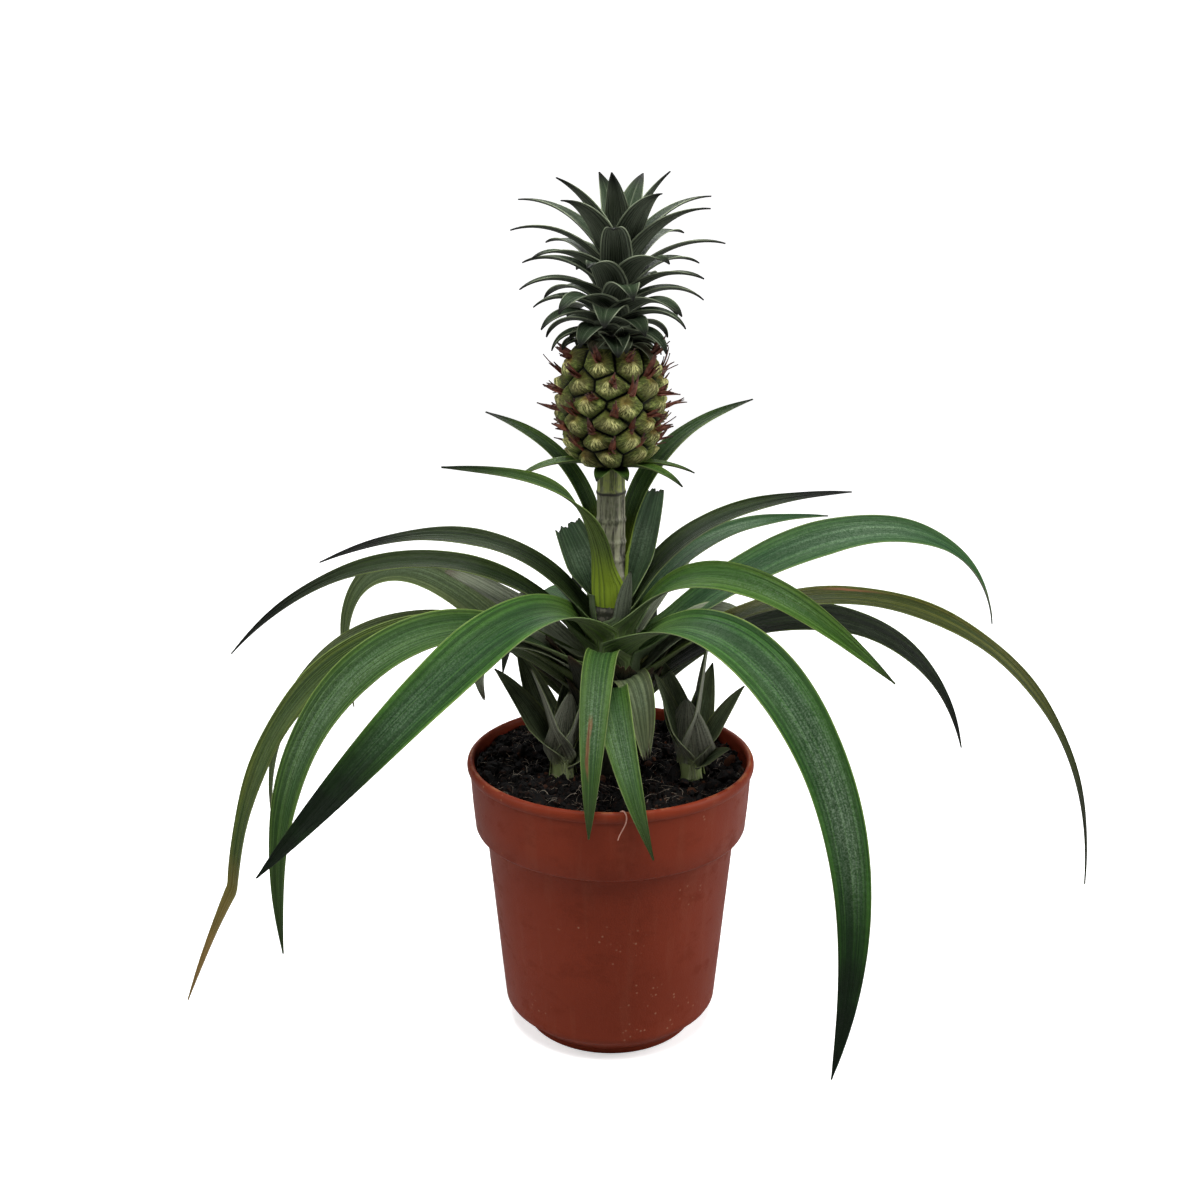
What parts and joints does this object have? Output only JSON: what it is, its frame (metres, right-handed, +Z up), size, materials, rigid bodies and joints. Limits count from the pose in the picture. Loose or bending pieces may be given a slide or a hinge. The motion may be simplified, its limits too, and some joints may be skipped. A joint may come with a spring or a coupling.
{
  "type": "potted pineapple plant",
  "caption": "Young pineapple plant in a round nursery pot: arching leaves, a small fruit on a stalk and a leafy crown.",
  "frame": {"origin": "centre of the pot's flat foot", "axes": "+Z up along the pot's axis and the fruit stalk; the plant's front is towards -Y"},
  "size_m": [0.3725, 0.2154, 0.3544],
  "materials": {
    "pot": "thin moulded terracotta-brown plastic",
    "soil": null,
    "stalk": null,
    "fruit": null,
    "crown": null,
    "leaf": null,
    "shoot": null
  },
  "bodies": {
    "root": {"crown": "crown", "fruit": "fruit", "leaf_back_left": "leaf", "leaf_back_left_curled": "leaf", "leaf_back_middle": "leaf", "leaf_back_right": "leaf", "leaf_cut_back": "leaf", "leaf_cut_left": "leaf", "leaf_cut_right": "leaf", "leaf_front_left_wide": "leaf", "leaf_front_low": "leaf", "leaf_front_middle": "leaf", "leaf_front_right_short": "leaf", "leaf_front_right_wide": "leaf", "leaf_inner_front": "leaf", "leaf_left_bright": "leaf", "leaf_left_cut": "leaf", "leaf_left_grey": "leaf", "leaf_left_long": "leaf", "leaf_left_middle": "leaf", "leaf_left_thin": "leaf", "leaf_left_upper": "leaf", "leaf_right_dark": "leaf", "leaf_right_hooked": "leaf", "leaf_right_long": "leaf", "leaf_right_thin": "leaf", "leaf_right_upper": "leaf", "leaf_right_wide": "leaf", "leaf_right_yellow": "leaf", "pot": "pot", "shoot_left": "shoot", "shoot_right": "shoot", "soil": "soil", "stalk": "stalk", "stalk_leaf_front": "leaf", "stalk_leaf_left": "leaf", "stalk_leaf_right": "leaf"}
  },
  "joints": []
}
